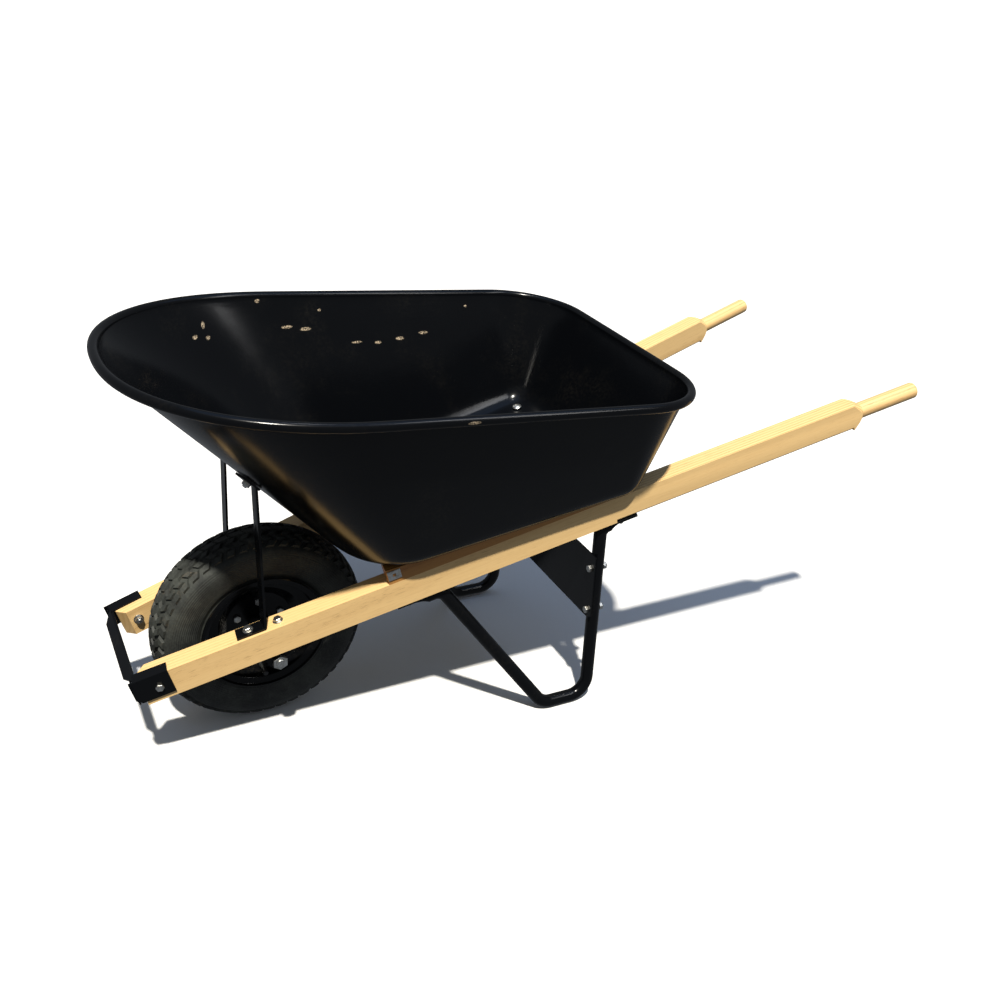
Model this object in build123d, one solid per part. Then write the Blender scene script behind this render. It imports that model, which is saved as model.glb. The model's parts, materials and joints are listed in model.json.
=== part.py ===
# Wheelbarrow: steel tray on two converging hardwood handles, one pneumatic wheel, two tube legs.
# Millimetres. +Z up, +X to the user's left, +Y towards the grips, the wheel in front at -Y.
# The origin is on the floor, under the middle of the whole object.
from build123d import *
import math
import os

# ---- driving dimensions ----
axle_y = -499.45           # wheel axle, measured from the middle of the object
tyre_radius = 195.0        # outside radius of the inflated tyre
tyre_half_width = 50.0

rail_width = 40.0          # handle section
rail_height = 54.0
rail_front_x = 100.0       # middle of the handle's front end, from the centre line
rail_front_y = axle_y - 227.0
rail_front_z = 177.6
rail_run_x = 150.3         # from the front end to the shoulder of the grip
rail_run_y = 1331.0
rail_run_z = 410.6
grip_length = 154.0
grip_radius = 16.0
shoulder_length = 24.0

wedge_start = 446.0        # distances along the handle from its front end
wedge_end = 874.0
floor_front_y = axle_y + 130.0
floor_rear_y = axle_y + 648.0
floor_front_z = 352.5      # underside of the tray floor at its front edge
floor_slope = 0.235
floor_front_half = 184.0
floor_rear_half = 237.0
floor_corner = 36.0
floor_power = 2.4          # squareness of the rounded front of the floor
floor_fillet = 25.0        # tangent length of the bend between floor and walls
front_blend = 125.0        # length of the rounded front of the floor

rim_rear_y = axle_y + 726.0
rim_straight_y = axle_y + 117.0
rim_nose_y = axle_y - 241.0
rim_rear_z = 678.0         # middle of the rolled rim at the rear
rim_slope = -0.05
rim_rear_half = 313.0
rim_taper = 0.01
rim_corner = 141.0
rim_power = 2.23           # roundness of the nose
bead_radius = 8.5
wall_inset = 5.0           # top of the wall, inside the middle of the rolled rim
sheet = 1.6

leg_tube = 12.5
leg_wall = 1.6
leg_foot_x = 208.0
leg_bend = 38.0            # bend radius at the foot
leg_elbow = 22.0           # bend radius under the handle, front and rear
rear_elbow_bend = 18.0
tab_width = 34.0           # flattened tube end
tab_thick = 7.0
front_flat = (448.0, 481.0)    # along the handle: pressed-flat stretch, round again, elbow
front_round = 506.0
front_elbow = 534.0
rear_elbow = 856.0
rear_round = 873.0
rear_flat = (926.0, 887.0)
foot_front_y = axle_y + 511.0
foot_rear_y = axle_y + 613.0
brace_low_z = 198.0
brace_high_z = 338.0
brace_bolts_z = (214.0, 306.0)
brace_thick = 2.5
brace_overhang = 15.0

axle_radius = 8.0
axle_half = 143.0
axle_nut_start = 131.5
hub_half = 74.0
hub_radius = 19.5
bearing_radius = 17.5
bearing_width = 12.0
rim_web = 60.0             # flat middle of each rim half
rim_seat = 101.0
rim_lip = 115.0
rim_bolt_circle = 42.0
valve_x = 16.0             # where the stem leaves the dish: across, and out from the axle
valve_r = 86.0
valve_lean = 8.0
valve_collar = 6.0
spacer_end = 119.0
washer_thick = 1.6
rim_bolts = 5
bracket_half = 46.0        # bracket flange, each way along the handle from the axle
bracket_bolts = 26.0
bolt_radius = 4.0
hole_radius = 4.3
front_bolt = 470.0         # tray bolts, along the handle
rear_bolt = 898.0
head_lift = {front_bolt: 3.2, rear_bolt: 3.4}   # seat of the round head above the flat floor

strut_width = 28.0
strut_thick = 4.0
strut_foot_front = 173.0
strut_foot_rear = 224.0
strut_ring = 39            # generatrix of the tray wall that the strut reaches, and how far up
strut_share = 0.51
strut_tab = 38.0

guard_thick = 3.0
guard_back = 51.0          # side plate, along the handle
guard_front = -15.0
guard_low = -17.0          # lower edge, from the middle of the handle
guard_lip = 23.0           # how far the sloping top lip reaches forward
guard_drop = 11.0
guard_corner = 40.0
guard_bolt = (29.0, 3.0)   # along, up


# ---- the left handle's own frame: x outwards, y along towards the grip, z square to its top ----
run = Vector(rail_run_x, rail_run_y, rail_run_z)
rail_length = run.length
along_dir = run.normalized()
out_dir = along_dir.cross(Vector(0, 0, 1)).normalized()
up_dir = out_dir.cross(along_dir)
rail_plane = Plane(origin=(rail_front_x, rail_front_y, rail_front_z), x_dir=out_dir, z_dir=up_dir)
rail_at = rail_plane.location
rail_top = rail_height / 2
half_width = rail_width / 2
axle_local = rail_plane.to_local_coords(Vector(rail_front_x, axle_y, tyre_radius))
axle_along = axle_local.Y
CORNER_BOX = (Align.MIN, Align.MIN, Align.MIN)
ON_FLOOR = (Align.CENTER, Align.CENTER, Align.MIN)


def on_rail(outwards, along, up):
    return rail_plane.from_local_coords(Vector(outwards, along, up))


def rail_box(x0, x1, y0, y1, z0, z1):
    """Box in the handle's frame, placed in the world."""
    return rail_at * (Pos(x0, y0, z0) * Box(x1 - x0, y1 - y0, z1 - z0, align=CORNER_BOX))


def rail_hole(along, radius=hole_radius):
    """Hole square to the top of the handle, long enough for the tray and the leg too."""
    return rail_at * (Pos(0, along, 0) * Cylinder(radius, 200))


def x_bar(radius, x0, x1):
    """Round bar on the wheel axle."""
    bar = Cylinder(radius, x1 - x0, align=ON_FLOOR)
    return Pos(x0, axle_y, tyre_radius) * (Rot(0, 90, 0) * bar)


def mirrored(shape):
    return mirror(shape, about=Plane.YZ)


def floor_height(y):
    return floor_front_z + floor_slope * (y - floor_front_y)


def rim_height(y):
    return rim_rear_z + rim_slope * (y - rim_rear_y)


# ---- tray outlines, as closed rings of points with the same number in each stretch ----
REAR, CORNER, SIDE, NOSE = 6, 7, 14, 16


def superellipse(t, half, length, power):
    c, s = max(math.cos(t), 0.0), math.sin(t)
    return half * c ** (2 / power), length * s ** (2 / power)


def ring(rear_y, rear_half, taper, corner, straight_y, nose_y, power):
    """Half outline from the middle of the rear edge round to the nose, then its mirror."""
    half = []
    for i in range(REAR):
        half.append(((rear_half - corner) * i / REAR, rear_y))
    for i in range(CORNER):
        a = math.pi / 2 * i / CORNER
        x = rear_half - corner + corner * math.sin(a)
        y = rear_y - corner + corner * math.cos(a)
        half.append((x - taper * (rear_y - y), y))
    start = rear_y - corner
    for i in range(SIDE):
        y = start + (straight_y - start) * i / SIDE
        half.append((rear_half - taper * (rear_y - y), y))
    wide = rear_half - taper * (rear_y - straight_y)
    for i in range(NOSE + 1):
        x, forward = superellipse(math.pi / 2 * i / NOSE, wide, straight_y - nose_y, power)
        half.append((x - taper * forward * x / wide, straight_y - forward))
    return half + [(-x, y) for x, y in half[-2:0:-1]]


def rim_ring(inset):
    return ring(rim_rear_y - inset, rim_rear_half - inset, rim_taper, rim_corner - inset,
                rim_straight_y, rim_nose_y + inset, rim_power)


def floor_ring(inset):
    taper = (floor_rear_half - floor_front_half) / (floor_rear_y - floor_front_y)
    return ring(floor_rear_y - inset, floor_rear_half - inset, taper, floor_corner - inset,
                floor_front_y + front_blend, floor_front_y + inset, floor_power)


def wall_lines(inset, lift):
    """Each straight line up the wall, from the sharp floor edge to the rim plane."""
    lines = []
    for (fx, fy), (rx, ry) in zip(floor_ring(inset), rim_ring(wall_inset + inset)):
        foot = Vector(fx, fy, floor_height(fy) + lift)
        lines.append((foot, Vector(rx, ry, rim_height(ry)) - foot))
    return lines


def closed_curve(points):
    steps = [i / len(points) for i in range(len(points) + 1)]
    return Wire([Edge.make_spline(points, periodic=True, parameters=steps)])


def tray_solid(inset, lift, above):
    """Solid from the floor to a plane above the rim, with the floor bend in four steps."""
    flat = floor_ring(inset + floor_fillet)
    lines = wall_lines(inset, lift)
    wires = []
    for t in (0.0, 0.25, 0.5, 0.75, 1.0):
        points = []
        for (x, y), (foot, span) in zip(flat, lines):
            start = Vector(x, y, floor_height(y) + lift)
            wall = foot + span.normalized() * floor_fillet
            points.append(start * (1 - t) ** 2 + foot * (2 * t * (1 - t)) + wall * t ** 2)
        wires.append(closed_curve(points))
    tops = []
    for foot, span in lines:
        reach = (rim_height(foot.Y) + above - foot.Z) / (span.Z - rim_slope * span.Y)
        tops.append(foot + span * reach)
    wires.append(closed_curve(tops))
    return Solid.make_loft(wires, ruled=True)


def wall_plane(index, share):
    """Plane on the outside of the wall: z outwards, y up the wall."""
    lines = wall_lines(0.0, 0.0)
    foot, span = lines[index]
    here = foot + span * share
    before = lines[index - 1][0] + lines[index - 1][1] * share
    after = lines[index + 1][0] + lines[index + 1][1] * share
    across = (before - after).normalized()
    outwards = across.cross(span.normalized())
    if outwards.Z > 0:
        outwards, across = -outwards, -across
    return Plane(origin=here, x_dir=across, z_dir=outwards)


def rim_bead():
    path = closed_curve([Vector(x, y, rim_height(y)) for x, y in rim_ring(0.0)])
    start = Plane(origin=path @ 0, z_dir=path % 0)
    return sweep(start * Circle(bead_radius), path=path)


strut_plane = wall_plane(strut_ring, strut_share)


def tray():
    shell = tray_solid(0.0, 0.0, 0.0) - tray_solid(sheet, sheet, 30.0)
    cuts = []
    for hole in (rail_hole(front_bolt), rail_hole(rear_bolt), strut_plane.location * Cylinder(hole_radius, 40)):
        cuts += [hole, mirrored(hole)]
    for cut in cuts:
        shell = shell - cut
    return shell + rim_bead()


# ---- wood ----
def handle():
    shaft = Box(rail_width, rail_length, rail_height, align=(Align.CENTER, Align.MIN, Align.CENTER))
    corner = shaft.edges().filter_by(Axis.Z).group_by(Axis.Y)[0].sort_by(Axis.X)[0]
    shaft = chamfer(corner, 14, 18)
    for side in (-1, 1):
        edge = Pos(side * half_width, rail_length * 0.83, -rail_top) * Rot(0, 45, 0)
        shaft = shaft - edge * Box(10, rail_length * 0.4, 10)
    neck = Box(rail_width, shoulder_length, rail_height, align=(Align.CENTER, Align.MIN, Align.CENTER))
    cone = Cone(math.hypot(half_width, rail_top), grip_radius, shoulder_length, align=ON_FLOOR)
    neck = neck & (Rot(-90, 0, 0) * cone)
    grip = Rot(-90, 0, 0) * Cylinder(grip_radius, grip_length, align=ON_FLOOR)
    grip = fillet(grip.edges().group_by(Axis.Y)[-1], 7)
    shape = shaft + Pos(0, rail_length, 0) * (neck + grip)
    for along in (axle_along - bracket_bolts, axle_along + bracket_bolts, front_bolt, rear_bolt):
        shape = shape - Pos(0, along, 0) * Cylinder(hole_radius, 90)
    shape = shape - Pos(0, guard_bolt[0], guard_bolt[1]) * (Rot(0, 90, 0) * Cylinder(hole_radius, 90))
    return rail_at * shape


def wedge():
    block = rail_box(-half_width, half_width, wedge_start, wedge_end, rail_top, rail_top + 60)
    tilt = math.degrees(math.atan(floor_slope))
    above = Pos(0, floor_front_y, floor_front_z) * (Rot(tilt, 0, 0) * Box(
        900, 1600, 400, align=(Align.CENTER, Align.CENTER, Align.MIN)))
    return block - above - rail_hole(front_bolt)


def wedge_clip():
    """Small steel plate let on to the outer face of the wedge, with a square hole."""
    low, high = rail_top + 9, rail_top + 27
    plate = rail_box(half_width, half_width + 2, wedge_start + 1, wedge_start + 25, low, high)
    hole = rail_box(half_width - 1, half_width + 4, wedge_start + 10, wedge_start + 16, low + 6, low + 12)
    return plate - hole


# ---- legs ----
def leg_path():
    return FilletPolyline(
        on_rail(0, front_round, -rail_top - leg_tube), on_rail(0, front_elbow, -rail_top - leg_tube),
        (leg_foot_x, foot_front_y, leg_tube), (leg_foot_x, foot_rear_y, leg_tube),
        on_rail(0, rear_elbow, -rail_top - leg_tube), on_rail(0, rear_round, -rail_top - leg_tube),
        radius=[leg_elbow, leg_bend, leg_bend, rear_elbow_bend])


def leg_end(flat, round_along):
    """Tube end pressed flat under the handle."""
    sections = []
    for along in flat:
        at = Plane(origin=on_rail(0, along, -rail_top - tab_thick / 2), x_dir=out_dir, z_dir=along_dir)
        sections.append(at * RectangleRounded(tab_width, tab_thick, 2.5))
    end = loft(sections)
    at = Plane(origin=on_rail(0, round_along, -rail_top - leg_tube), x_dir=out_dir, z_dir=along_dir)
    crimp = loft([sections[1], at * Circle(leg_tube)])
    return end + crimp


def brace_plane():
    """Plane of the two rear struts: x across, z up the struts, at the middle of the barrow."""
    top = on_rail(0, rear_elbow, -rail_top - leg_tube)
    rise = Vector(0, top.Y - foot_rear_y, top.Z - leg_tube)
    return Plane(origin=(0, foot_rear_y, leg_tube), x_dir=(1, 0, 0), z_dir=rise)


def brace_hole_places():
    """Left side: where the brace bolts cross the strut."""
    top = on_rail(0, rear_elbow, -rail_top - leg_tube)
    places = []
    for z in brace_bolts_z:
        share = (z - leg_tube) / (top.Z - leg_tube)
        x = leg_foot_x + (top.X - leg_foot_x) * share
        y = foot_rear_y + (top.Y - foot_rear_y) * share
        places.append(Vector(x, y, z))
    return places


brace_at = brace_plane()
brace_forward = brace_at.x_dir.cross(brace_at.z_dir)


def leg():
    path = leg_path()
    start = Plane(origin=path @ 0, z_dir=path % 0)
    tube = sweep(start * (Circle(leg_tube) - Circle(leg_tube - leg_wall)), path=path)
    shape = tube + leg_end(front_flat, front_round) + leg_end(rear_flat, rear_round)
    for along in (front_bolt, rear_bolt):
        shape = shape - rail_hole(along)
    for place in brace_hole_places():
        shape = shape - Plane(origin=place, z_dir=brace_forward).location * Cylinder(hole_radius, 60)
    return shape


def leg_brace():
    low, high = brace_low_z - leg_tube, brace_high_z - leg_tube
    half_low = brace_hole_places()[0].X + brace_overhang
    half_high = brace_hole_places()[1].X + brace_overhang - 2
    outline = Polygon((-half_low + 12, low), (half_low - 12, low), (half_low, low + 8), (half_high, high),
                      (-half_high, high), (-half_low, low + 8), align=None)
    face = Plane(origin=brace_at.origin, x_dir=brace_at.x_dir, z_dir=brace_forward)
    plate = extrude(face * outline, leg_tube + brace_thick) - extrude(face * outline, leg_tube)
    for place in brace_hole_places():
        hole = Plane(origin=place, z_dir=brace_forward).location * Cylinder(hole_radius, 60)
        plate = plate - hole - mirrored(hole)
    return plate


# ---- nose guard: one pressed sheet round both handle ends ----
nose_pitch = math.degrees(math.atan2(rail_run_z, rail_run_y))
nose_plane = Plane(origin=(0, rail_front_y, rail_front_z), x_dir=(1, 0, 0),
                   z_dir=Vector(0, 0, 1).rotate(Axis.X, nose_pitch))


def nose_guard():
    top = rail_top + guard_thick
    outer = half_width + guard_thick
    side = rail_box(half_width, outer, guard_front, guard_back, guard_low, top)
    side = chamfer(side.edges().filter_by(Axis(side.center(), out_dir)).sort_by(Axis.Z)[0], 9)
    flange = rail_box(0, outer, -8, guard_back, rail_top, top)
    wide = rail_front_x + outer
    lip = Polygon((-guard_lip, rail_top - guard_drop), (-guard_thick, rail_top), (-guard_thick, top),
                  (-guard_lip, top - guard_drop), align=None)
    lip = extrude(Plane(origin=(0, 0, 0), x_dir=(0, 1, 0), z_dir=(1, 0, 0)) * lip, wide)
    plan = Polygon((0, 0), (wide, 0), (wide, -guard_thick), (wide - guard_corner, -guard_lip),
                   (0, -guard_lip), align=None)
    lip = lip & extrude(plan, 60, both=True)
    front = Box(wide - 1, guard_thick, rail_top - 5 - guard_low, align=CORNER_BOX)
    nose = nose_plane.location * (lip + Pos(0, guard_front, guard_low) * front)
    hole = rail_at * (Pos(0, *guard_bolt) * (Rot(0, 90, 0) * Cylinder(hole_radius, 90)))
    half = side + flange + nose - hole
    return half + mirrored(half)


# ---- wheel ----
def spun(face):
    """Ring made by turning a profile (x, radius) round the axle."""
    return Pos(0, axle_y, tyre_radius) * revolve(face, Axis.X)


def tyre():
    w, r = tyre_half_width, tyre_radius
    outside = Spline((w - 12, rim_seat + 2.5), (w - 11, rim_lip + 1), (w - 4, r * 0.67), (w, r * 0.775),
                     (w - 4, r * 0.9), (w - 12, r * 0.963), (w - 29, r * 0.992), (0, r))
    inside = Spline((0, r - 9), (w - 29, r * 0.945), (w - 14, r * 0.89), (w - 8, r * 0.775),
                    (w - 13, r * 0.66), (w - 20, rim_lip), (w - 20, rim_seat + 2.5))
    half = make_face([outside, Line(outside @ 1, inside @ 0), inside, Line(inside @ 1, outside @ 0)])
    return spun(half + mirror(half, about=Plane.YZ))


def inner_tube():
    middle = tyre_radius * 0.755
    return spun(Pos(0, middle) * (Circle(36) - Circle(33)))


def rim_half():
    """Right-hand half: flat web, dish, bead seat and rolled lip, 2 mm sheet."""
    line = FilletPolyline((1, hub_radius + 0.1), (1, rim_web), (15, 80), (17, rim_seat - 3),
                          (tyre_half_width - 10, rim_seat), (tyre_half_width - 8, rim_lip - 2),
                          (tyre_half_width - 2, rim_lip), radius=3.5)
    half = spun(trace(line, 2))
    for turn in range(rim_bolts):
        half = half - rim_bolt_place(turn) * Cylinder(hole_radius, 20)
    return half


def rim_bolt_place(turn):
    spoke = Vector(0, rim_bolt_circle, 0).rotate(Axis.X, 360 / rim_bolts * turn + 18)
    return Plane(origin=Vector(0, axle_y, tyre_radius) + spoke, z_dir=(1, 0, 0)).location


def valve_plane():
    lean = math.radians(valve_lean)
    return Plane(origin=(valve_x, axle_y, tyre_radius - valve_r), z_dir=(math.cos(lean), 0, -math.sin(lean)))


def valve_parts():
    """Stem and cap of the valve, out of the dish of the left half at the bottom."""
    at = valve_plane()
    stem = Cylinder(4, 26, align=ON_FLOOR) + Cylinder(valve_collar, 8, align=ON_FLOOR)
    cap = Pos(0, 0, 20.0) * (Cylinder(5, 12, align=ON_FLOOR) - Cylinder(4.0, 6, align=ON_FLOOR))
    return at.location * stem, at.location * fillet(cap.edges().group_by(Axis.Z)[-1], 1.5)


def hub():
    return x_bar(hub_radius, -hub_half, hub_half) - x_bar(bearing_radius, -hub_half - 1, hub_half + 1)


def bearing():
    body = x_bar(bearing_radius, hub_half - bearing_width, hub_half)
    body = body + x_bar(hub_radius + 2, hub_half, hub_half + 2)
    return body - x_bar(axle_radius + 0.04, 0, 200)


# ---- axle ----
def axle():
    bar = x_bar(axle_radius, -axle_half, axle_half)
    return chamfer(bar.edges().filter_by(GeomType.CIRCLE), 1)


def axle_spacer():
    return x_bar(11, hub_half + 2.5, spacer_end) - x_bar(axle_radius + 0.03, 0, 200)


def axle_bracket():
    flange = rail_box(-15, 15, axle_along - bracket_half, axle_along + bracket_half, -rail_top - 4, -rail_top)
    lug = rail_box(-4, 4, axle_along - 17, axle_along + 17, axle_local.Z + 4, -rail_top - 4)
    ball = rail_at * (Pos(0, axle_along, axle_local.Z) * (Rot(0, 90, 0) * Cylinder(17, 8)))
    shape = flange + lug + ball - x_bar(axle_radius + 0.05, 0, 300)
    for along in (axle_along - bracket_bolts, axle_along + bracket_bolts):
        shape = shape - rail_hole(along)
    return shape


def axle_nut():
    body = extrude(RegularPolygon(12, 6, major_radius=False), 9) - Cylinder(axle_radius, 40)
    turned = Plane(origin=(axle_nut_start, axle_y, tyre_radius), z_dir=(1, 0, 0)).location
    return turned * body


# ---- struts from the handles to the front of the tray ----
def tray_strut():
    foot = rail_box(-strut_width / 2, strut_width / 2, strut_foot_front, strut_foot_rear,
                    rail_top, rail_top + strut_thick)
    foot = foot - rail_hole(axle_along - bracket_bolts)
    tab = Box(strut_width, strut_tab, strut_thick, align=(Align.CENTER, Align.CENTER, Align.MIN))
    tab = tab - Cylinder(hole_radius, 40)
    tab = strut_plane.location * (Pos(0, 0, 0.5) * tab)
    low = on_rail(0, strut_foot_rear - strut_thick / 2, rail_top + 3.8)
    high = strut_plane.from_local_coords(Vector(0, -strut_tab / 2 + 1, 0.5 + strut_thick / 2))
    at = Plane(origin=low, x_dir=(1, 0, 0), z_dir=high - low)
    bar = at.location * Box(strut_width, strut_thick, (high - low).length + 4, align=ON_FLOOR)
    wall = strut_plane.location * (Pos(0, 0, 0.5) * Box(90, 90, 60, align=(Align.CENTER, Align.CENTER, Align.MAX)))
    return foot + tab + (bar - wall)


# ---- fasteners, each made at the origin with its head on top and its shank down -Z ----
def hexagon(across, height):
    body = extrude(RegularPolygon(across / 2, 6, major_radius=False), height)
    return chamfer(body.edges().group_by(Axis.Z)[-1], 0.8)


def shank(radius, length):
    bar = Pos(0, 0, -length) * Cylinder(radius, length, align=ON_FLOOR)
    return chamfer(bar.edges().group_by(Axis.Z)[0], 0.8)


def hex_bolt(length, radius=bolt_radius):
    return hexagon(radius * 3.25, radius * 1.3) + shank(radius, length)


def carriage_bolt(length, radius=bolt_radius):
    dome = Pos(0, 0, -radius * 2.6) * Sphere(radius * 3.6)
    dome = dome & Cylinder(radius * 2.5, radius * 2, align=ON_FLOOR)
    return dome + shank(radius, length)


def nut(radius=bolt_radius):
    return hexagon(radius * 3.25, radius * 1.6) - Cylinder(radius, 60)


def washer(radius=bolt_radius):
    ringed = Cylinder(radius * 2.3, washer_thick, align=ON_FLOOR)
    return ringed - Cylinder(radius + 0.3, 60)


def stand(origin, direction):
    return Plane(origin=origin, z_dir=direction).location


def rail_stand(along, up, flip=False):
    return stand(on_rail(0, along, up), -up_dir if flip else up_dir)


def both(*shapes):
    return [copy for shape in shapes for copy in (shape, mirrored(shape))]


def bracket_fasteners():
    """Bolts down through the handle and the bracket; the front pair also holds the strut foot."""
    under = -rail_top - 4
    bolts, nuts, washers = [], [], []
    for along, lift in ((axle_along - bracket_bolts, strut_thick), (axle_along + bracket_bolts, 0)):
        top = rail_top + lift
        washers.append(rail_stand(along, top) * washer())
        bolts.append(rail_stand(along, top + washer_thick) * hex_bolt(top - under + washer_thick + 10))
        nuts.append(rail_stand(along, under, True) * nut())
    return bolts, nuts, washers


def tray_fasteners():
    """Round-headed bolts down through tray, wedge, handle and leg."""
    bolts, nuts, washers = [], [], []
    under = -rail_top - tab_thick
    for along in (front_bolt, rear_bolt):
        spot = on_rail(0, along, 0)
        top = (floor_height(spot.Y) - spot.Z) / (up_dir.Z - floor_slope * up_dir.Y) + sheet + head_lift[along]
        bolts.append(rail_stand(along, top) * carriage_bolt(top - under + 12))
        washers.append(rail_stand(along, under, True) * washer())
        nuts.append(rail_stand(along, under - washer_thick, True) * nut())
    return bolts, nuts, washers


def guard_fasteners():
    along, up = guard_bolt
    outer = stand(on_rail(half_width + guard_thick, along, up), out_dir)
    inner = stand(on_rail(-half_width, along, up), -out_dir)
    away = stand(on_rail(-half_width - washer_thick, along, up), -out_dir)
    return outer * hex_bolt(rail_width + guard_thick + 10), inner * washer(), away * nut()


def brace_fasteners():
    bolts, nuts = [], []
    reach = leg_tube + brace_thick
    for place in brace_hole_places():
        bolts.append(stand(place + brace_forward * reach, brace_forward) * hex_bolt(reach + leg_tube + 9))
        nuts.append(stand(place - brace_forward * leg_tube, -brace_forward) * nut())
    return bolts, nuts


def strut_fasteners():
    inside = strut_plane.location * (Pos(0, 0, -sheet - 1.0) * (Rot(180, 0, 0) * carriage_bolt(strut_thick + 12)))
    outside = strut_plane.location * (Pos(0, 0, 0.5 + strut_thick) * nut())
    return inside, outside


def rim_fasteners():
    bolts = [rim_bolt_place(turn) * (Pos(0, 0, 2) * hex_bolt(12)) for turn in range(rim_bolts)]
    nuts = [rim_bolt_place(turn) * (Pos(0, 0, -2) * (Rot(180, 0, 0) * nut())) for turn in range(rim_bolts)]
    return bolts, nuts


def save(name, *shapes):
    """One sub-part: every solid in its own place, in one STEP file."""
    solids = [solid for shape in shapes for solid in shape.solids()]
    whole = solids[0] if len(solids) == 1 else Compound(children=solids)
    whole.label = name
    export_step(whole, f"parts/{name}.step")


def save_pair(name, shape):
    save("left_" + name, shape)
    save("right_" + name, mirrored(shape))


os.makedirs("parts", exist_ok=True)
save("tray", tray())
save_pair("handle", handle())
save_pair("wedge", wedge())
save("wedge_clips", *both(wedge_clip()))
save_pair("leg", leg())
save("leg_brace", leg_brace())
save("nose_guard", nose_guard())
save_pair("tray_strut", tray_strut())
save_pair("axle_bracket", axle_bracket())
save("axle", axle())
save("axle_spacers", *both(axle_spacer()))
save("axle_nuts", *both(axle_nut()))

save("tyre", tyre())
save("inner_tube", inner_tube())
save("left_rim_half", rim_half() - valve_plane().location * Cylinder(valve_collar, 40))
save("right_rim_half", mirrored(rim_half()))
save("hub", hub())
save_pair("bearing", bearing())
stem, cap = valve_parts()
save("valve_stem", stem)
save("valve_cap", cap)
wheel_bolts, wheel_nuts = rim_fasteners()
save("rim_bolts", *wheel_bolts)
save("rim_nuts", *wheel_nuts)

for name, parts in (("bracket", bracket_fasteners()), ("tray", tray_fasteners())):
    for kind, pieces in zip(("bolts", "nuts", "washers"), parts):
        save(f"{name}_{kind}", *both(*pieces))
for name, pieces in (("bolts", brace_fasteners()[0]), ("nuts", brace_fasteners()[1])):
    save("brace_" + name, *both(*pieces))
for kind, piece in zip(("bolts", "washers", "nuts"), guard_fasteners()):
    save("guard_" + kind, *both(piece))
for kind, piece in zip(("bolts", "nuts"), strut_fasteners()):
    save("strut_" + kind, *both(piece))
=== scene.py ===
import json
import math

import bmesh
import bpy
from mathutils import Euler, Matrix, Vector


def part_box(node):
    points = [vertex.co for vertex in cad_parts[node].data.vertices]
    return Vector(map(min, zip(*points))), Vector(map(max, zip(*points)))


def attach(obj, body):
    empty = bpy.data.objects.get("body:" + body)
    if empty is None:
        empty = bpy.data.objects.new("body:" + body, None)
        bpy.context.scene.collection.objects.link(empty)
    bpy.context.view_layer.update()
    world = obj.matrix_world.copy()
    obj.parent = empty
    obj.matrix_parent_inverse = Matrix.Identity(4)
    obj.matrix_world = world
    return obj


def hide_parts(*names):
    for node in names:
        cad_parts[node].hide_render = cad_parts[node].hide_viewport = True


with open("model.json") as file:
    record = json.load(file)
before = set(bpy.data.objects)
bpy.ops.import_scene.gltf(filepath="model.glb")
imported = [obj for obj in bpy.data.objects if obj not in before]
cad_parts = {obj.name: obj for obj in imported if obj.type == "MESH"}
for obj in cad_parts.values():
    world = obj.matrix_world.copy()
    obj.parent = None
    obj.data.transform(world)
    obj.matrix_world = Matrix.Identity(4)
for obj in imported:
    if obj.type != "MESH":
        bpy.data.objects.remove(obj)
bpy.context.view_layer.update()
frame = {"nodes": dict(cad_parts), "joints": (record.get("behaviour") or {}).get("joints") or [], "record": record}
axle = Vector(frame["joints"][0]["pos_m"])
wheelNodes = set(frame["record"]["behaviour"]["bodies"]["wheel"])
print("frame loaded:", len(frame["nodes"]), "nodes")


# shader maths

class Value:
    def __init__(self, shade, socket):
        self.shade = shade
        self.socket = socket

    def calc(self, operation, first, second=None, third=None):
        return self.shade.node("ShaderNodeMath", {"operation": operation}, {0: first, 1: second, 2: third})

    def __add__(self, other):
        return self.calc("ADD", self, other)

    def __radd__(self, other):
        return self.calc("ADD", other, self)

    def __sub__(self, other):
        return self.calc("SUBTRACT", self, other)

    def __rsub__(self, other):
        return self.calc("SUBTRACT", other, self)

    def __mul__(self, other):
        return self.calc("MULTIPLY", self, other)

    def __rmul__(self, other):
        return self.calc("MULTIPLY", other, self)

    def __truediv__(self, other):
        return self.calc("DIVIDE", self, other)

    def __pow__(self, other):
        return self.calc("POWER", self, other)

    def over(self, low, high):
        # 0 below low, 1 above high, smooth between
        return self.shade.node("ShaderNodeMapRange", {"interpolation_type": "SMOOTHSTEP"},
                               {0: self, 1: low, 2: high, 3: 0.0, 4: 1.0})

    def wave(self):
        return self.calc("SINE", self)

    def root(self):
        return self.calc("SQRT", self)


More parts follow.
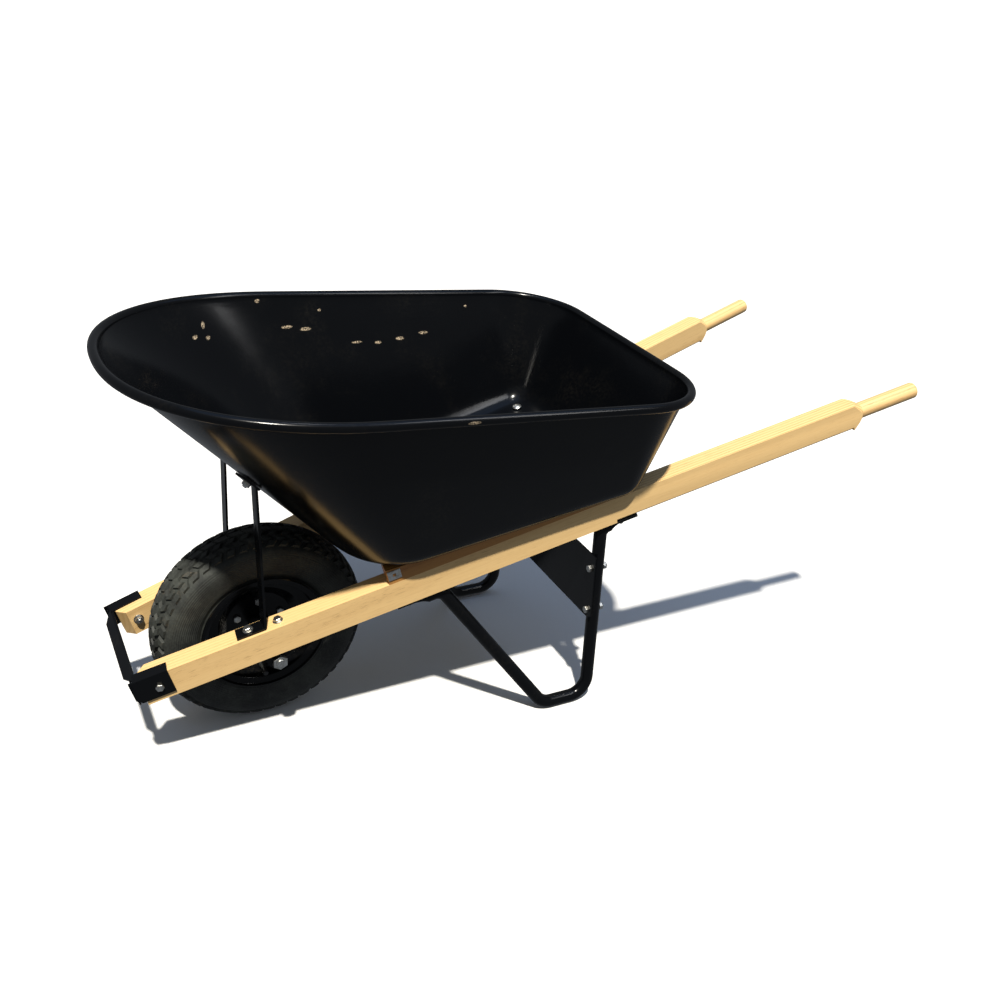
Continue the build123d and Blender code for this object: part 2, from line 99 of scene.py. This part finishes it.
class Shade:
    def __init__(self, name):
        self.material = bpy.data.materials.new(name)
        self.material.use_nodes = True
        self.tree = self.material.node_tree
        self.tree.nodes.clear()
        output = self.tree.nodes.new("ShaderNodeOutputMaterial")
        self.shader = self.tree.nodes.new("ShaderNodeBsdfPrincipled")
        self.tree.links.new(self.shader.outputs[0], output.inputs[0])

    def node(self, kind, settings=None, inputs=None, output=0):
        made = self.tree.nodes.new(kind)
        for key, value in (settings or {}).items():
            setattr(made, key, value)
        for key, value in (inputs or {}).items():
            if isinstance(value, Value):
                self.tree.links.new(value.socket, made.inputs[key])
            elif value is not None:
                made.inputs[key].default_value = value
        return Value(self, made.outputs[output])

    def coords(self, centre=(0, 0, 0), stretch=(1, 1, 1)):
        place = self.node("ShaderNodeTexCoord", output=3)
        if centre != (0, 0, 0):
            place = self.node("ShaderNodeVectorMath", {"operation": "SUBTRACT"}, {0: place, 1: centre})
        return self.node("ShaderNodeMapping", {"vector_type": "POINT"}, {0: place, 3: stretch})

    def noise(self, place, scale, detail=4.0, rough=0.55):
        return self.node("ShaderNodeTexNoise", None,
                         {"Vector": place, "Scale": scale, "Detail": detail, "Roughness": rough})

    def cells(self, place, scale):
        return self.node("ShaderNodeTexVoronoi", None, {"Vector": place, "Scale": scale})

    def stretched(self, place, stretch):
        return self.node("ShaderNodeMapping", None, {0: place, 3: stretch})

    def parts(self, place):
        split = self.node("ShaderNodeSeparateXYZ", None, {0: place})
        outs = split.socket.node.outputs
        return [Value(self, outs[i]) for i in range(3)]

    def mix(self, share, first, second, blend="MIX"):
        return self.node("ShaderNodeMix", {"data_type": "RGBA", "blend_type": blend},
                         {0: share, 6: colour(first), 7: colour(second)}, 2)

    def bump(self, height, depth, strength=1.0, under=None):
        return self.node("ShaderNodeBump", None,
                         {"Strength": strength, "Distance": depth, "Height": height, "Normal": under})

    def finish(self, **sockets):
        names = {"colour": "Base Color", "rough": "Roughness", "metal": "Metallic", "coat": "Coat Weight",
                 "normal": "Normal", "specular": "Specular IOR Level"}
        for key, value in sockets.items():
            if isinstance(value, Value):
                self.tree.links.new(value.socket, self.shader.inputs[names[key]])
            else:
                self.shader.inputs[names[key]].default_value = colour(value)
        return self.material


def colour(value):
    return (*value, 1.0) if isinstance(value, tuple) and len(value) == 3 else value


# finishes

enamelLook = {"black": (0.0022, 0.0026, 0.0034), "dust": (0.06, 0.052, 0.036), "chip": (0.58, 0.46, 0.31),
              "rough": 0.13, "specular": 0.22, "peelScale": 300.0, "peelDepth": 0.00012, "wavyScale": 14.0,
              "wavyDepth": 0.0012, "bumpShare": 0.35, "cloudScale": 9.0, "chipScale": 380.0}


def enamel(name, dustShare, scuffs=()):
    look = enamelLook
    shade = Shade(name)
    place = shade.coords()
    cloud = shade.noise(place, look["cloudScale"], 6.0, 0.62)
    fine = shade.noise(place, 160.0, 3.0)
    dust = cloud.over(0.48, 0.78) * fine.over(0.35, 0.7) * dustShare
    streaks = shade.noise(shade.coords(stretch=(4.0, 4.0, 60.0)), 6.0, 5.0, 0.7).over(0.62, 0.74)
    tone = shade.mix(dust, look["black"], look["dust"])
    marks = 0.0
    x, y, z = shade.parts(place)
    ragged = shade.noise(place, look["chipScale"], 4.0, 0.8).over(0.44, 0.58)
    for side, alongY, upZ, length, height in scuffs:
        far = (((y - alongY - axle.y) / length) ** 2.0 + ((z - upZ) / height) ** 2.0).root()
        marks = (1.0 - far.over(0.55, 1.0)) * (x * side).over(0.08, 0.12) * ragged + marks
    if scuffs:
        # every chipped face looks towards +x, and the other face of the sheet doesn't
        facing = shade.parts(shade.node("ShaderNodeTexCoord", output=1))[0]
        marks = marks * facing.over(0.05, 0.3)
        tone = shade.mix(marks, tone, look["chip"])
    rough = look["rough"] + cloud * 0.10 + dust * 0.8 + streaks * 0.05 + marks * 0.5
    peel = shade.noise(place, look["peelScale"], 2.0, 0.5)
    wavy = shade.noise(place, look["wavyScale"], 2.0, 0.5)
    normal = shade.bump(wavy, look["wavyDepth"], look["bumpShare"])
    normal = shade.bump(peel, look["peelDepth"], look["bumpShare"], normal)
    return shade.finish(colour=tone, rough=rough, normal=normal, specular=look["specular"])


woodLook = {"pale": (0.88, 0.60, 0.27), "late": (0.58, 0.31, 0.10), "pore": (0.26, 0.12, 0.035),
            "ringScale": 135.0, "ringSway": 11.0, "ringShare": 0.72, "fibreShare": 0.22, "poreShare": 0.48,
            "fibreScale": 520.0, "poreScale": 950.0, "rough": 0.34, "poreDepth": 0.00025, "coat": 0.12,
            "specular": 0.45}


def wood(name, alongAxis, offset, tintAndShade=(1.0, 1.0, 1.0)):
    look = woodLook
    shade = Shade(name)
    flat = math.atan2(-alongAxis.x, alongAxis.y)
    rise = math.asin(alongAxis.normalized().z)
    square = shade.node("ShaderNodeVectorRotate", {"rotation_type": "Z_AXIS"},
                        {0: shade.coords(centre=offset), 3: -flat})
    square = shade.node("ShaderNodeVectorRotate", {"rotation_type": "X_AXIS"}, {0: square, 3: -rise})
    x, y, z = shade.parts(square)
    drawn = shade.stretched(square, (1.0, 0.085, 1.0))
    sway = shade.noise(drawn, 9.0, 3.0, 0.5)
    knotty = shade.noise(drawn, 26.0, 4.0, 0.6)
    ring = ((x + 0.045) ** 2.0 + (z * 0.55 - 0.03) ** 2.0).root() * look["ringScale"] * 6.283
    ring = ring + sway * look["ringSway"] + knotty * 1.6
    bands = (ring.wave() * 0.5 + 0.5) ** 2.4
    fibres = shade.noise(shade.stretched(square, (1.0, 0.02, 1.0)), look["fibreScale"], 4.0, 0.7)
    pores = shade.noise(shade.stretched(square, (1.0, 0.045, 1.0)), look["poreScale"], 2.0)
    pores = pores.over(0.60, 0.68) * (bands * 0.7 + 0.3)
    patches = shade.noise(drawn, 5.0, 2.0)
    rings = bands * look["ringShare"] * patches.over(0.3, 0.7)
    threads = fibres.over(0.4, 0.75) * look["fibreShare"]
    tone = shade.mix(rings + threads, look["pale"], look["late"])
    tone = shade.mix(pores * look["poreShare"], tone, look["pore"])
    blotch = shade.noise(square, 45.0, 5.0, 0.7).over(0.58, 0.74)
    tone = shade.mix(blotch * 0.12, tone, look["late"])
    # the multiplied tint carries the wedges' redder wood tone together with a painted shade that darkens them
    tone = shade.mix(1.0, tone, tintAndShade, "MULTIPLY")
    rough = look["rough"] + fibres * 0.14 + pores * 0.12
    normal = shade.bump(fibres * 0.4 - pores, look["poreDepth"], 0.5)
    return shade.finish(colour=tone, rough=rough, normal=normal, specular=look["specular"],
                        coat=look["coat"])


rubberLook = {"dark": (0.011, 0.012, 0.012), "dusty": (0.075, 0.082, 0.070), "earth": (0.16, 0.125, 0.085),
              "rings": 1700.0, "ringDepth": 0.0008, "sideFrom": 0.118, "sideTo": 0.168, "rough": 0.56,
              "specular": 0.4}


def rubber(name, ringed):
    look = rubberLook
    shade = Shade(name)
    place = shade.coords(centre=tuple(axle))
    x, y, z = shade.parts(place)
    radius = (y * y + z * z).root()
    cloud = shade.noise(place, 13.0, 6.0, 0.65)
    grain = shade.noise(place, 260.0, 4.0, 0.6)
    dust = cloud.over(0.34, 0.72) * 0.62 + grain.over(0.42, 0.7) * 0.20
    tone = shade.mix(dust, look["dark"], look["dusty"])
    soil = shade.noise(place, 32.0, 5.0, 0.7).over(0.57, 0.72) * radius.over(0.165, 0.193)
    tone = shade.mix(soil * 0.5, tone, look["earth"])
    height = grain * 0.35
    if ringed:
        side = radius.over(look["sideFrom"], look["sideFrom"] + 0.004)
        side = side * (1.0 - radius.over(look["sideTo"], look["sideTo"] + 0.004))
        height = height + (radius * look["rings"]).wave() * side * 0.5
    normal = shade.bump(height, look["ringDepth"], 0.6)
    rough = look["rough"] + cloud * 0.22 + soil * 0.15
    return shade.finish(colour=tone, rough=rough, normal=normal, specular=look["specular"])


zincLook = {"bright": (0.66, 0.67, 0.66), "dull": (0.40, 0.40, 0.37), "yellow": (0.58, 0.50, 0.33),
            "rough": 0.22, "lineDepth": 0.00006, "cloudDepth": 0.0002}


def zinc(name):
    look = zincLook
    shade = Shade(name)
    place = shade.coords()
    cloud = shade.noise(place, 140.0, 5.0, 0.65)
    spots = shade.cells(place, 420.0).over(0.25, 0.75)
    tone = shade.mix(cloud.over(0.4, 0.66), look["bright"], look["dull"])
    tone = shade.mix(shade.noise(place, 60.0, 2.0).over(0.52, 0.7) * 0.45, tone, look["yellow"])
    lines = shade.noise(place, 900.0, 3.0)
    normal = shade.bump(lines, look["lineDepth"], 0.4, shade.bump(cloud, look["cloudDepth"], 0.3))
    rough = look["rough"] + cloud * 0.2 + spots * 0.07
    return shade.finish(colour=tone, rough=rough, metal=1.0, normal=normal)


plasticLook = {"dark": (0.012, 0.012, 0.013), "worn": (0.035, 0.035, 0.034), "grain": 900.0, "rough": 0.42,
               "depth": 0.0001}


def plastic(name):
    look = plasticLook
    shade = Shade(name)
    grain = shade.noise(shade.coords(), look["grain"], 3.0)
    tone = shade.mix(grain.over(0.4, 0.7) * 0.4, look["dark"], look["worn"])
    normal = shade.bump(grain, look["depth"], 0.5)
    return shade.finish(colour=tone, rough=look["rough"] + grain * 0.12, normal=normal)


# mesh helpers

def keep(bm, name, body, material, smoothAngle=32.0):
    mesh = bpy.data.meshes.new(name)
    bm.to_mesh(mesh)
    bm.free()
    mesh.materials.append(material)
    mesh.polygons.foreach_set("use_smooth", [True] * len(mesh.polygons))
    mesh.set_sharp_from_angle(angle=math.radians(smoothAngle))
    piece = bpy.data.objects.new(name, mesh)
    bpy.context.scene.collection.objects.link(piece)
    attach(piece, body)
    return piece


def ringEdges(bm, points):
    verts = [bm.verts.new(point) for point in points]
    return [bm.edges.new((verts[i], verts[(i + 1) % len(verts)])) for i in range(len(verts))]


def bridgeAll(bm, rings):
    # rings of points, skinned one after the other
    loops = [ringEdges(bm, ring) for ring in rings]
    for first, second in zip(loops, loops[1:]):
        bmesh.ops.bridge_loops(bm, edges=first + second)
    return loops


# tray

traySpec = {
    "floorFrontY": 0.130, "floorRearY": 0.648, "floorFrontZ": 0.3525, "floorSlope": 0.235,
    "floorFrontHalf": 0.184, "floorRearHalf": 0.237, "floorCorner": 0.036, "floorPower": 2.4,
    "bend": 0.033, "frontBlend": 0.125, "rimRearY": 0.726, "rimStraightY": 0.117, "rimNoseY": -0.241,
    "rimRearZ": 0.678, "rimSlope": -0.05, "rimRearHalf": 0.313, "rimTaper": 0.01, "rimCorner": 0.141,
    "rimPower": 2.23, "bead": 0.0085, "sheet": 0.0016, "bendSteps": 7, "wallSteps": 9, "beadSteps": 15,
    "rollEnd": -215.0, "ringStretches": (8, 12, 20, 28)}


def trayRing(rearY, rearHalf, taper, corner, straightY, noseY, power):
    rear, turn, side, nose = traySpec["ringStretches"]
    half = [((rearHalf - corner) * i / rear, rearY) for i in range(rear)]
    for i in range(turn):
        angle = math.pi / 2 * i / turn
        y = rearY - corner + corner * math.cos(angle)
        half.append((rearHalf - corner + corner * math.sin(angle) - taper * (rearY - y), y))
    start = rearY - corner
    for i in range(side):
        y = start + (straightY - start) * i / side
        half.append((rearHalf - taper * (rearY - y), y))
    wide = rearHalf - taper * (rearY - straightY)
    for i in range(nose + 1):
        angle = math.pi / 2 * i / nose
        x = wide * max(math.cos(angle), 0.0) ** (2 / power)
        forward = (straightY - noseY) * math.sin(angle) ** (2 / power)
        half.append((x - taper * forward * x / wide, straightY - forward))
    outline = half + [(-x, y) for x, y in half[-2:0:-1]]
    return [(x, y + axle.y) for x, y in outline]


def rimRing(inset):
    s = traySpec
    return trayRing(s["rimRearY"] - inset, s["rimRearHalf"] - inset, s["rimTaper"], s["rimCorner"] - inset,
                    s["rimStraightY"], s["rimNoseY"] + inset, s["rimPower"])


def floorRing(inset):
    s = traySpec
    taper = (s["floorRearHalf"] - s["floorFrontHalf"]) / (s["floorRearY"] - s["floorFrontY"])
    return trayRing(s["floorRearY"] - inset, s["floorRearHalf"] - inset, taper, s["floorCorner"] - inset,
                    s["floorFrontY"] + s["frontBlend"], s["floorFrontY"] + inset, s["floorPower"])


def floorHeight(y):
    return traySpec["floorFrontZ"] + traySpec["floorSlope"] * (y - axle.y - traySpec["floorFrontY"])


def rimHeight(y):
    return traySpec["rimRearZ"] + traySpec["rimSlope"] * (y - axle.y - traySpec["rimRearY"])


def trayRings():
    s = traySpec
    thick = s["sheet"]
    flat = [Vector((x, y, floorHeight(y) + thick)) for x, y in floorRing(thick + s["bend"])]
    foot = [Vector((x, y, floorHeight(y) + thick)) for x, y in floorRing(thick)]
    top = [Vector((x, y, rimHeight(y) - s["bead"] * 0.25)) for x, y in rimRing(s["bead"] * 0.97)]
    middle = Vector((0.0, axle.y + (s["floorFrontY"] + s["floorRearY"]) / 2, 0.0))
    rings = []
    for share in (0.25, 0.5, 0.75):
        ring = [middle + (point - middle) * share for point in flat]
        rings.append([Vector((p.x, p.y, floorHeight(p.y) + thick)) for p in ring])
    for step in range(s["bendSteps"] + 1):
        t = step / s["bendSteps"]
        ring = []
        for start, corner, end in zip(flat, foot, top):
            wall = corner + (end - corner).normalized() * s["bend"]
            ring.append(start * (1 - t) ** 2 + corner * (2 * t * (1 - t)) + wall * t ** 2)
        rings.append(ring)
    last = rings[-1]
    for step in range(1, s["wallSteps"] + 1):
        rings.append([a.lerp(b, step / s["wallSteps"]) for a, b in zip(last, top)])
    for step in range(s["beadSteps"] + 1):
        angle = math.radians(180.0 + (s["rollEnd"] - 90.0) * step / s["beadSteps"])
        out = rimRing(-s["bead"] * math.cos(angle))
        rings.append([Vector((x, y, rimHeight(y) + s["bead"] * math.sin(angle))) for x, y in out])
    return rings


def buildTray(material):
    bm = bmesh.new()
    loops = bridgeAll(bm, trayRings())
    bmesh.ops.edgeloop_fill(bm, edges=loops[0])
    bmesh.ops.recalc_face_normals(bm, faces=bm.faces)
    bm.faces.ensure_lookup_table()
    lowest = min(bm.faces, key=lambda face: face.calc_center_median().z)
    if lowest.normal.z < 0:
        bmesh.ops.reverse_faces(bm, faces=bm.faces)
    piece = keep(bm, "tray_shell", "frame", material, 70.0)
    shell = piece.modifiers.new("thickness", "SOLIDIFY")
    shell.thickness = traySpec["sheet"]
    shell.offset = -1.0
    smooth = piece.modifiers.new("smooth", "SUBSURF")
    smooth.levels = smooth.render_levels = 1
    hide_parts("tray")
    return piece


# tyre

tyreSpec = {
    "radius": 0.195, "steps": 144, "blockHeight": 0.0048, "blockSlope": 0.0016,
    "treadHalf": 0.0390, "bands": (-0.0390, -0.0285, -0.0180, -0.0070, 0.0070, 0.0180, 0.0285, 0.0390),
    "zigzag": 0.55, "blockLength": 2, "blockGap": 1, "beadRadius": 0.1035,
    "shoulderDrop": 0.0135}


def crown(x):
    # radius of the carcass under the tread blocks at a distance x from the middle
    s = tyreSpec
    return s["radius"] - s["blockHeight"] - s["shoulderDrop"] * (abs(x) / s["treadHalf"]) ** 2.4


def tyreOutline():
    s = tyreSpec
    r = s["radius"]
    tread = [(x, crown(x)) for x in s["bands"]]
    side = [(0.0428, r * 0.892), (0.0458, r * 0.872), (0.0462, r * 0.864), (0.0484, r * 0.842),
            (0.0497, r * 0.815), (0.0500, r * 0.775), (0.0492, r * 0.735), (0.0478, r * 0.700),
            (0.0470, r * 0.690), (0.0464, r * 0.668), (0.0443, r * 0.638), (0.0436, r * 0.628),
            (0.0410, r * 0.606), (0.0392, r * 0.592), (0.0388, r * 0.560), (0.0380, s["beadRadius"])]
    inner = [(0.030, s["beadRadius"]), (0.030, 0.118), (0.037, 0.135), (0.041, 0.155), (0.034, 0.170),
             (0.022, 0.178), (0.0, 0.181)]
    right = side + inner
    left = [(-x, radius) for x, radius in right[-2::-1]]
    return tread + right + left


def buildTyre(material):
    s = tyreSpec
    bm = bmesh.new()
    outline = [(x, axle.y, axle.z + radius) for x, radius in tyreOutline()]
    verts = [bm.verts.new(point) for point in outline]
    edges = [bm.edges.new((verts[i], verts[(i + 1) % len(verts)])) for i in range(len(verts))]
    bmesh.ops.spin(bm, geom=verts + edges, cent=axle, axis=(1, 0, 0), angle=math.tau, steps=s["steps"],
                   use_merge=True, use_duplicate=False)
    bmesh.ops.remove_doubles(bm, verts=bm.verts, dist=0.00002)
    bmesh.ops.recalc_face_normals(bm, faces=bm.faces)
    bands = s["bands"]
    for number, x in enumerate(bands):
        under = crown(x) - 0.001
        line = [v for v in bm.verts if abs(v.co.x - x) < 0.0004 and (v.co - axle).yz.length > under]
        slant = math.tau / s["steps"] * s["zigzag"] * (1 if number % 2 else -1)
        bmesh.ops.rotate(bm, cent=axle, matrix=Matrix.Rotation(slant, 3, "X"), verts=line)
    strips = [[] for _ in bands[1:]]
    for face in bm.faces:
        middle = face.calc_center_median()
        outwards = Vector((0.0, middle.y - axle.y, middle.z - axle.z)).normalized()
        if abs(middle.x) < s["treadHalf"] and face.normal.dot(outwards) > 0.5:
            place = math.atan2(middle.z - axle.z, middle.y - axle.y) % math.tau
            for number in range(len(strips)):
                if bands[number] < middle.x < bands[number + 1]:
                    strips[number].append((place, face))
    pitch = s["blockLength"] + s["blockGap"]
    for number, strip in enumerate(strips):
        strip.sort(key=lambda item: item[0])
        shift = (number * 2) % pitch
        length = pitch if number == len(strips) // 2 else s["blockLength"]
        for start in range(0, s["steps"], pitch):
            block = [strip[(start + shift + i) % s["steps"]][1] for i in range(length)]
            bmesh.ops.inset_region(bm, faces=block, thickness=s["blockSlope"], depth=s["blockHeight"],
                                   use_even_offset=True, use_boundary=True)
    piece = keep(bm, "tyre_treaded", "wheel", material, 28.0)
    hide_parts("tyre")
    return piece


# every other piece: the CAD shape with its edges eased

easeSpec = {"flatAngle": 0.6, "edgeAngle": 34.0, "mergeWithin": 0.000002}


def easedCopy(node, body, material, ease, segments=2):
    edgeAngle = easeSpec["edgeAngle"]
    flatAngle = math.radians(easeSpec["flatAngle"])
    bm = bmesh.new()
    bm.from_mesh(frame["nodes"][node].data)
    bmesh.ops.remove_doubles(bm, verts=bm.verts, dist=easeSpec["mergeWithin"])
    bmesh.ops.dissolve_limit(bm, angle_limit=flatAngle, verts=bm.verts, edges=bm.edges)
    piece = keep(bm, node + "_eased", body, material, edgeAngle)
    if ease:
        edge = piece.modifiers.new("ease", "BEVEL")
        edge.width = ease
        edge.segments = segments
        edge.limit_method = "ANGLE"
        edge.angle_limit = math.radians(edgeAngle)
        edge.harden_normals = True
    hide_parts(node)
    return piece


# paint chips, on the inside of the right wall (-1) and under the left rim (1): side, back from the axle,
# up, half length, half height
scuffs = ((-1, 0.089, 0.703, 0.006, 0.004), (-1, 0.209, 0.679, 0.004, 0.003),
          (-1, 0.142, 0.653, 0.013, 0.0035), (-1, 0.178, 0.647, 0.013, 0.004),
          (-1, 0.281, 0.615, 0.013, 0.0025), (-1, 0.326, 0.611, 0.008, 0.0035),
          (-1, 0.374, 0.615, 0.011, 0.004), (-1, 0.426, 0.622, 0.012, 0.0035),
          (-1, 0.526, 0.666, 0.004, 0.003), (-1, -0.021, 0.676, 0.004, 0.007),
          (-1, -0.015, 0.655, 0.005, 0.004), (-1, -0.040, 0.661, 0.006, 0.004),
          (1, 0.245, 0.702, 0.012, 0.003))
enamelBlack = enamel("trayEnamel", 0.10, scuffs=scuffs)
frameBlack = enamel("frameEnamel", 0.16)
rimBlack = enamel("rimEnamel", 0.22)
buildTray(enamelBlack)
print("tray done")
buildTyre(rubber("tyreRubber", True))
print("tyre done")

# the wedge tint is partly the wedges' redder wood and partly painted shade darkening them
railSpec = {"axis": (150.3, 1331.0, 410.6), "ease": 0.0022, "wedgeEase": 0.0010,
            "wedgeTintAndPaintedShade": (0.55, 0.37, 0.20)}
railAxis = {"left": Vector(railSpec["axis"]), "right": Vector(railSpec["axis"]) * Vector((-1, 1, 1))}
for side, axis in railAxis.items():
    low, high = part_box(side + "_handle")
    start = (low.x if side == "left" else high.x, low.y, low.z)
    ash = wood(side + "Ash", axis, start)
    easedCopy(side + "_handle", "frame", ash, railSpec["ease"], 3)
    # the wedges get a redder and darker wood: the darkening is painted shade, not the wood's own colour
    wedgeStart = (start[0], start[1] + 0.31, start[2] + 0.02)
    wedgeWoodAndShade = wood(side + "WedgeWoodPaintedShade", axis, wedgeStart, railSpec["wedgeTintAndPaintedShade"])
    easedCopy(side + "_wedge", "frame", wedgeWoodAndShade, railSpec["wedgeEase"])
print("wood done")

zincPlain = zinc("zincSteel")
easing = {
    "frame_paint": (frameBlack, 0.0008, (
        "left_leg", "right_leg", "leg_brace", "nose_guard", "left_tray_strut", "right_tray_strut",
        "left_axle_bracket", "right_axle_bracket")),
    "rim_paint": (rimBlack, 0.0006, ("left_rim_half", "right_rim_half", "hub")),
    "tube_rubber": (rubber("tubeRubber", False), 0.0006, ("inner_tube", "valve_stem")),
    "cap_plastic": (plastic("capPlastic"), 0.0004, ("valve_cap",)),
    "zinc_steel": (zincPlain, 0.0004, (
        "axle", "axle_nuts", "axle_spacers", "brace_bolts", "brace_nuts", "bracket_bolts", "bracket_nuts",
        "bracket_washers", "guard_bolts", "guard_nuts", "guard_washers", "left_bearing", "right_bearing",
        "rim_bolts", "rim_nuts", "strut_bolts", "strut_nuts", "tray_bolts", "tray_nuts", "tray_washers"))}
for slot, (material, ease, nodes) in easing.items():
    for node in nodes:
        easedCopy(node, "wheel" if node in wheelNodes else "frame", material, ease)
easedCopy("wedge_clips", "frame", zincPlain, 0.0)
print("metalwork done")


# floor, light and camera

studio = {"floor": (0.84, 0.84, 0.83), "world": (0.86, 0.92, 1.0), "worldPower": 0.18, "keyPower": 5.5,
          "keyFrom": (0.4, -0.2, 1.0), "keyAngle": 2.0, "keyColour": (1.0, 0.95, 0.86), "skyPower": 38.0,
          "sky": (0.25, 0.50, 1.0), "floorRadius": 400.0,
          "floorDrop": 0.0002, "speck": (0.7, 0.7, 0.7)}


def buildFloor():
    bm = bmesh.new()
    bmesh.ops.create_circle(bm, cap_ends=True, radius=studio["floorRadius"], segments=64)
    bmesh.ops.translate(bm, verts=bm.verts, vec=(0, 0, -studio["floorDrop"]))
    mesh = bpy.data.meshes.new("floor")
    bm.to_mesh(mesh)
    bm.free()
    shade = Shade("floorPale")
    speck = shade.noise(shade.coords(), 40.0, 3.0)
    tone = shade.mix(speck.over(0.4, 0.7) * 0.05, studio["floor"], studio["speck"])
    mesh.materials.append(shade.finish(colour=tone, rough=0.8, specular=0.1))
    floor = bpy.data.objects.new("floor", mesh)
    # the floor lights and reflects nothing, so the shaded sides stay dark
    floor.visible_glossy = floor.visible_diffuse = False
    bpy.context.scene.collection.objects.link(floor)


def addLight(name, kind, energy, place, aim, colourOf=(1.0, 1.0, 1.0), **settings):
    light = bpy.data.lights.new(name, kind)
    light.energy = energy
    light.color = colourOf
    for key, value in settings.items():
        setattr(light, key, value)
    lamp = bpy.data.objects.new(name, light)
    bpy.context.scene.collection.objects.link(lamp)
    lamp.location = place
    lamp.rotation_euler = (Vector(aim) - Vector(place)).to_track_quat("-Z", "Y").to_euler()
    return lamp


buildFloor()
world = bpy.data.worlds.new("studio")
world.use_nodes = True
background = world.node_tree.nodes["Background"]
background.inputs[0].default_value = (*studio["world"], 1.0)
background.inputs[1].default_value = studio["worldPower"]
bpy.context.scene.world = world
keyPlace = Vector(studio["keyFrom"]) * 3.0
addLight("key", "SUN", studio["keyPower"], keyPlace, (0, 0, 0.3), studio["keyColour"],
         angle=math.radians(studio["keyAngle"]))
addLight("overhead", "AREA", studio["skyPower"], (0.2, 0.3, 4.2), (0, 0, 0.5), studio["sky"],
         shape="RECTANGLE", size=4.0, size_y=5.0)

# small softboxes that only show as highlights on the gloss paint: place, aim, sides, power
glints = {"bendGlint": ((1.28, 0.95, 2.30), (-0.225, 0.06, 0.46), (0.35, 1.4), 14.0),
          "rimGlint": ((-0.12, -0.13, 2.85), (0.297, -0.503, 0.722), (0.25, 0.25), 3.0)}
for name, (place, aim, sides, power) in glints.items():
    lamp = addLight(name, "AREA", power, place, aim, shape="RECTANGLE", size=sides[0], size_y=sides[1])
    lamp.visible_diffuse = False

cameraSpec = {"place": (1.5806, -0.9332, 1.3383), "pitch": 27.95, "heading": 59.79, "roll": 6.13,
              "lens": 37.70}
camera = bpy.data.cameras.new("camera")
camera.sensor_width = 36.0
camera.lens = cameraSpec["lens"]
cameraObject = bpy.data.objects.new("camera", camera)
bpy.context.scene.collection.objects.link(cameraObject)
tilt = Euler((math.radians(90 - cameraSpec["pitch"]), 0, math.radians(cameraSpec["heading"]))).to_matrix()
turn = tilt @ Matrix.Rotation(math.radians(cameraSpec["roll"]), 3, "Z")
cameraObject.matrix_world = Matrix.Translation(cameraSpec["place"]) @ turn.to_4x4()
bpy.context.scene.camera = cameraObject
bpy.context.scene.view_settings.view_transform = "Standard"

print("scene done")
